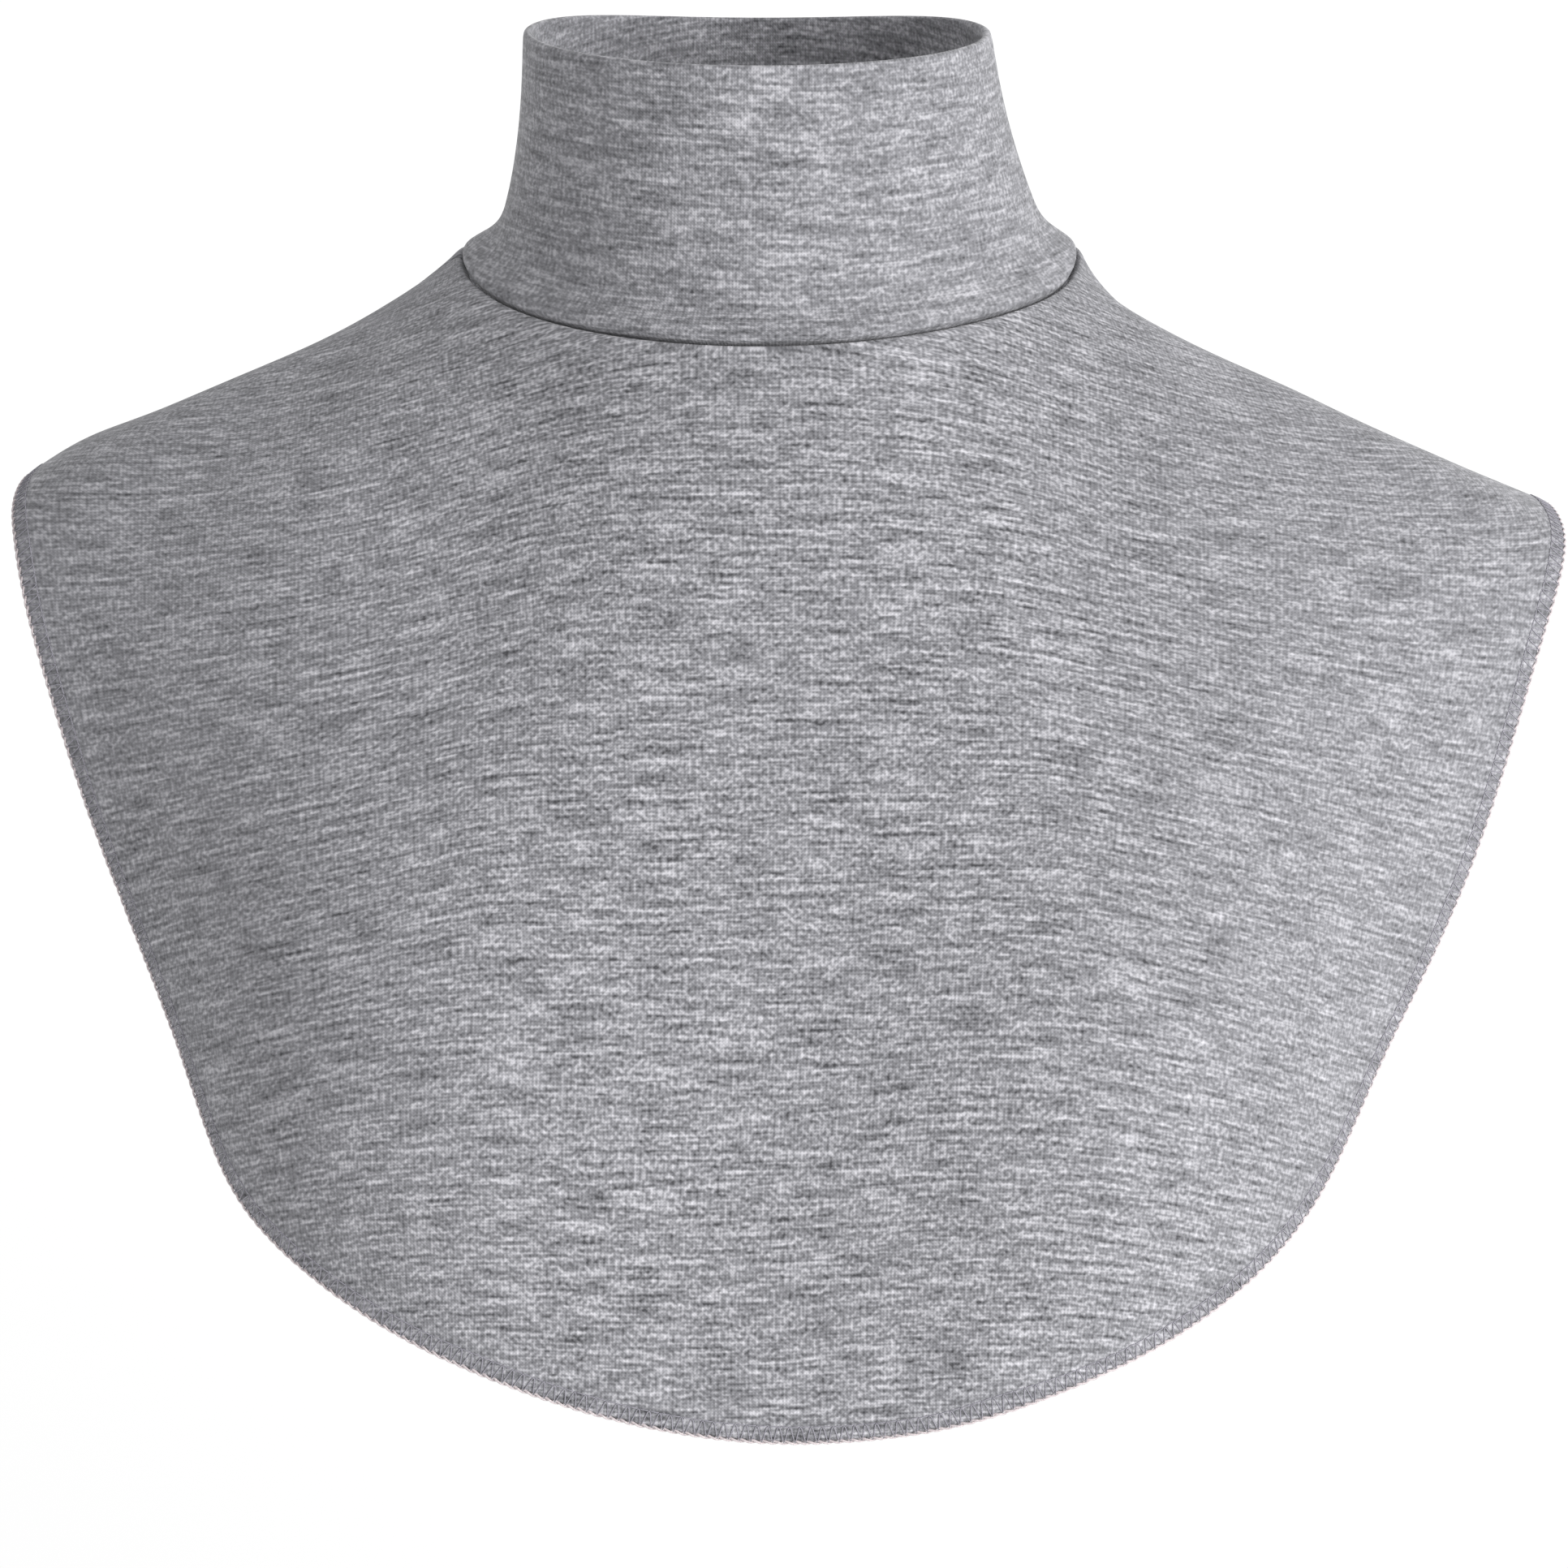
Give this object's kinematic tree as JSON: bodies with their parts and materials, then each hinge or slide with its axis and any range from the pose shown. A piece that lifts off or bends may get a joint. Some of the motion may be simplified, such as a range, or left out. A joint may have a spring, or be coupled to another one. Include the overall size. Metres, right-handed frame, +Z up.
{
  "type": "turtleneck dickey",
  "caption": "Turtleneck dickey in marled grey jersey: a folded stand collar sewn to a round bib with front and back panels and an overlocked edge, in its worn form.",
  "frame": {"origin": "the middle of the neckline, level with the mean of its two side points, where the dickey sits on the base of the neck", "axes": "+X towards the wearer's left, +Y to the wearer's back, +Z up; the front faces -Y"},
  "size_m": [0.421, 0.2348, 0.3843],
  "materials": {
    "jersey": "marled mid-grey modal single jersey, smooth and matt, with fine light and dark flecks along its courses",
    "overlock_thread": "pale grey textured polyester overlock thread"
  },
  "bodies": {
    "root": {"collar": "jersey", "front_panel": "jersey", "back_panel": "jersey", "overlock_edging": "overlock_thread"}
  },
  "joints": []
}
